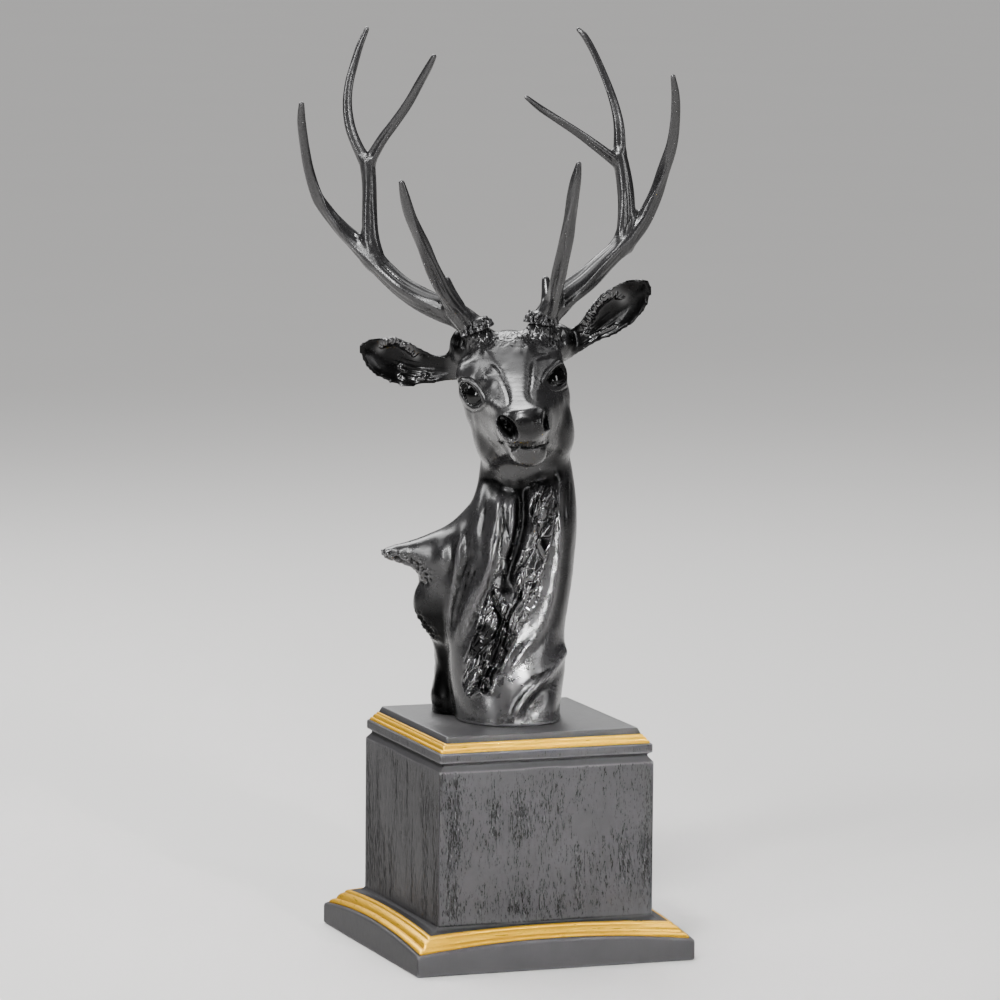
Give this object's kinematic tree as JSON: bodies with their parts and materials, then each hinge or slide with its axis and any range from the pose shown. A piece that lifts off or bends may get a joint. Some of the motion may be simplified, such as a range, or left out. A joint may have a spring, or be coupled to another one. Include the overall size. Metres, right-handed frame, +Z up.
{
  "type": "resin deer bust",
  "caption": "Stag's head and torn-edged neck in black resin, with antlers, on a moulded square plinth with gilded rims.",
  "frame": {"origin": "middle of the plinth's flat underside", "axes": "+Z up, -Y the plinth's front, +X to the right seen from the front"},
  "size_m": [0.2364, 0.19, 0.5956],
  "materials": {
    "plinth": "satin black cast resin with wood grain, rims painted gold",
    "bust": "satin-gloss black cast resin",
    "antlers": "satin black cast resin"
  },
  "bodies": {
    "root": {"plinth": "plinth", "bust": "bust", "antler_left": "antlers", "antler_right": "antlers"}
  },
  "joints": []
}
